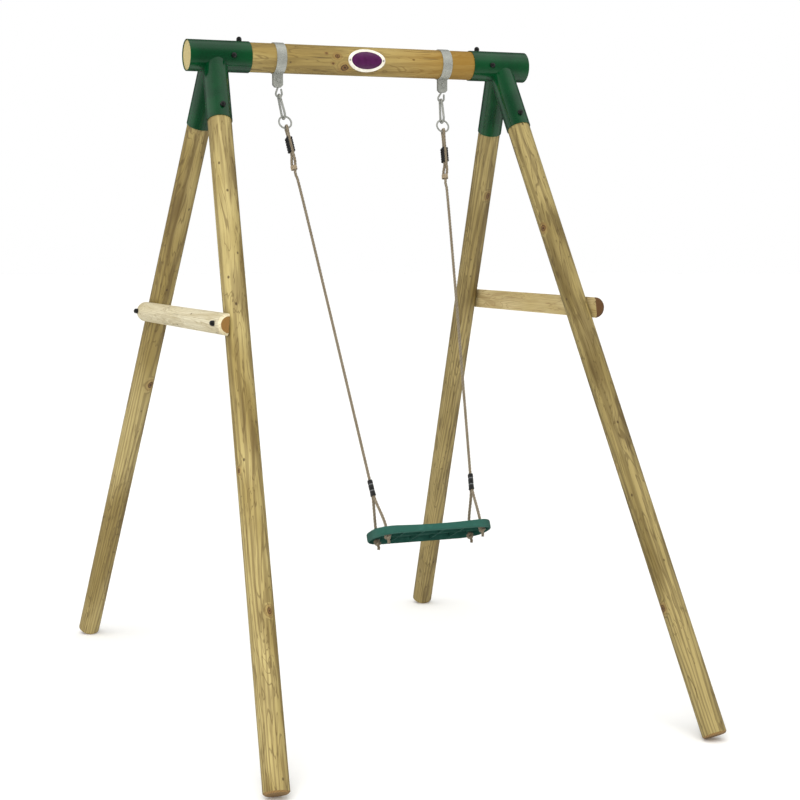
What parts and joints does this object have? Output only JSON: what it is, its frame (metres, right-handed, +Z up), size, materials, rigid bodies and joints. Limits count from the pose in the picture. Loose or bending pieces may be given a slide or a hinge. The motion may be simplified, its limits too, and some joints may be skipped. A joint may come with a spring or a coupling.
{
  "type": "garden swing set",
  "caption": "Free-standing round-pole swing frame with splayed legs in steel corner sockets and a flat moulded seat hung on adjustable ropes from strap hangers.",
  "frame": {"origin": "on the ground, midway between the four feet", "axes": "+X along the beam, +Y from the front to the back, +Z up; the stored seat stands 22 degrees forward of plumb, towards -Y"},
  "size_m": [1.548, 2.3975, 2.2678],
  "materials": {
    "beam_wood": "turned and pressure treated",
    "leg_wood": "turned and pressure treated",
    "brace_wood": "turned and sawn flat",
    "bracket_steel": "gloss powder coat",
    "zinc_fasteners": "zinc plated",
    "zinc_steel": "zinc plated",
    "cap_plastic": "moulded",
    "badge_rim": "moulded",
    "badge_field": "moulded",
    "adjuster_plastic": "moulded",
    "sleeve_rubber": "moulded",
    "binding_twine": "wound twine",
    "rope": "laid rope",
    "seat_plastic": "moulded, fine texture"
  },
  "bodies": {
    "frame": {"badge_field": "badge_field", "badge_plate": "badge_rim", "badge_screws": "zinc_fasteners", "brace_left": "brace_wood", "brace_right": "brace_wood", "brace_screw_caps": "cap_plastic", "brace_screws": "zinc_fasteners", "bracket_left": "bracket_steel", "bracket_right": "bracket_steel", "bracket_screw_caps": "cap_plastic", "bracket_screws": "zinc_fasteners", "hanger_bolts": "zinc_fasteners", "hanger_bushes": "zinc_fasteners", "hanger_nuts": "zinc_fasteners", "hanger_strap_left": "zinc_steel", "hanger_strap_right": "zinc_steel", "leg_back_left": "leg_wood", "leg_back_right": "leg_wood", "leg_front_left": "leg_wood", "leg_front_right": "leg_wood", "s_hook_left": "zinc_steel", "s_hook_right": "zinc_steel", "top_beam": "beam_wood"},
    "swing": {"rope_binding_left": "binding_twine", "rope_binding_right": "binding_twine", "rope_ring_left": "zinc_steel", "rope_ring_right": "zinc_steel", "rope_sleeve_left": "sleeve_rubber", "rope_sleeve_right": "sleeve_rubber", "snap_gate_pin_left": "zinc_steel", "snap_gate_pin_right": "zinc_steel", "snap_hook_left": "zinc_steel", "snap_hook_right": "zinc_steel", "swing_rope_left": "rope", "swing_rope_right": "rope"},
    "seat": {"seat": "seat_plastic", "yoke_knots": "rope", "yoke_rope_back_left": "rope", "yoke_rope_back_right": "rope", "yoke_rope_front_left": "rope", "yoke_rope_front_right": "rope"},
    "gate_left": {"snap_gate_left": "zinc_steel"},
    "gate_right": {"snap_gate_right": "zinc_steel"},
    "adjuster_left": {"rope_adjuster_left": "adjuster_plastic"},
    "adjuster_right": {"rope_adjuster_right": "adjuster_plastic"}
  },
  "joints": [
    {"name": "swing", "type": "hinge", "parent": "frame", "child": "swing", "pos_m": [0, 0, 2.07023], "axis": [-1, 0, 0], "range_deg": [-77, 33]},
    {"name": "seat_tilt", "type": "hinge", "parent": "swing", "child": "seat", "pos_m": [0, -0.52983, 0.75884], "axis": [-1, 0, 0], "range_deg": [-10, 10]},
    {"name": "gate_left", "type": "hinge", "parent": "swing", "child": "gate_left", "pos_m": [-0.30178, -0.01425, 2.06202], "axis": [0.996, 0.0333, 0.0824], "range_deg": [0, 16], "stiffness_Nm_per_rad": 0.3, "springref_deg": -11.46},
    {"name": "adjuster_left", "type": "slide", "parent": "swing", "child": "adjuster_left", "axis": [0.0889, -0.3731, -0.9235], "range_m": [-0.016, 0]},
    {"name": "gate_right", "type": "hinge", "parent": "swing", "child": "gate_right", "pos_m": [0.30178, -0.01425, 2.06202], "axis": [0.996, -0.0333, -0.0824], "range_deg": [0, 16], "stiffness_Nm_per_rad": 0.3, "springref_deg": -11.46},
    {"name": "adjuster_right", "type": "slide", "parent": "swing", "child": "adjuster_right", "axis": [-0.0889, -0.3731, -0.9235], "range_m": [-0.044, 0]}
  ]
}
